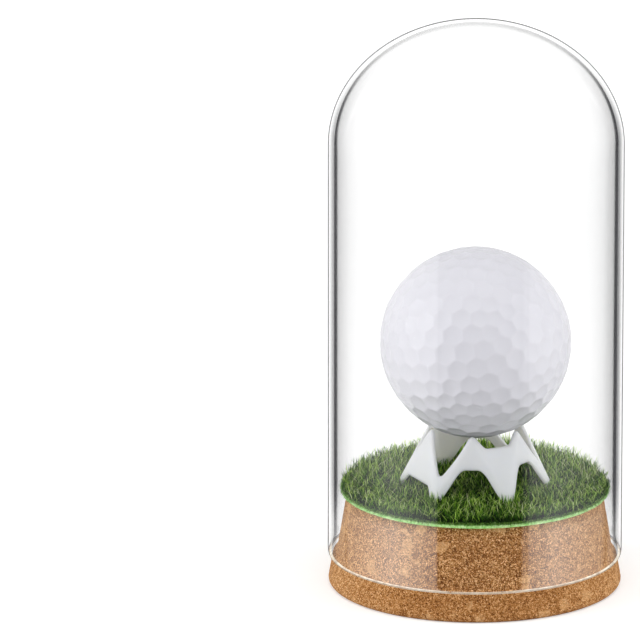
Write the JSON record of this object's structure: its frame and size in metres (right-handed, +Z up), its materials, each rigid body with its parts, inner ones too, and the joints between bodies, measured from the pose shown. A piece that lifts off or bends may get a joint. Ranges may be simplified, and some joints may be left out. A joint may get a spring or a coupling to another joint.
{
  "type": "golf ball display case",
  "caption": "Glass dome on a tapered cork stopper, with a turf round and a pleated white stand that holds a golf ball upright for display.",
  "frame": {"origin": "centre of the cork stopper's underside", "axes": "+Z up along the dome's axis, -Y towards the viewer"},
  "size_m": [0.0658, 0.0658, 0.1287],
  "materials": {
    "cork": "pressed cork granules, matt, with larger pale flakes",
    "turf_backing": "bright green backing, cut edge showing",
    "turf_pile": "fine short artificial grass in mixed greens",
    "stand_plastic": "white moulded plastic, satin",
    "ball_cover": "glossy white cover with shallow dimples",
    "clear_glass": "clear blown glass, smooth, melted rim"
  },
  "bodies": {
    "base": {"cork_base": "cork", "turf_backing": "turf_backing", "turf_pile": "turf_pile"},
    "dome": {"glass_dome": "clear_glass"},
    "stand": {"ball_stand": "stand_plastic"},
    "ball": {"golf_ball": "ball_cover"}
  },
  "joints": [
    {"name": "dome_lift", "type": "slide", "parent": "base", "child": "dome", "axis": [0, 0, 1], "range_m": [0, 0.13]},
    {"name": "stand_lift", "type": "slide", "parent": "base", "child": "stand", "axis": [0, 0, 1], "range_m": [0, 0.016]},
    {"name": "ball_lift", "type": "slide", "parent": "stand", "child": "ball", "axis": [0, 0, 1], "range_m": [0, 0.025]}
  ]
}
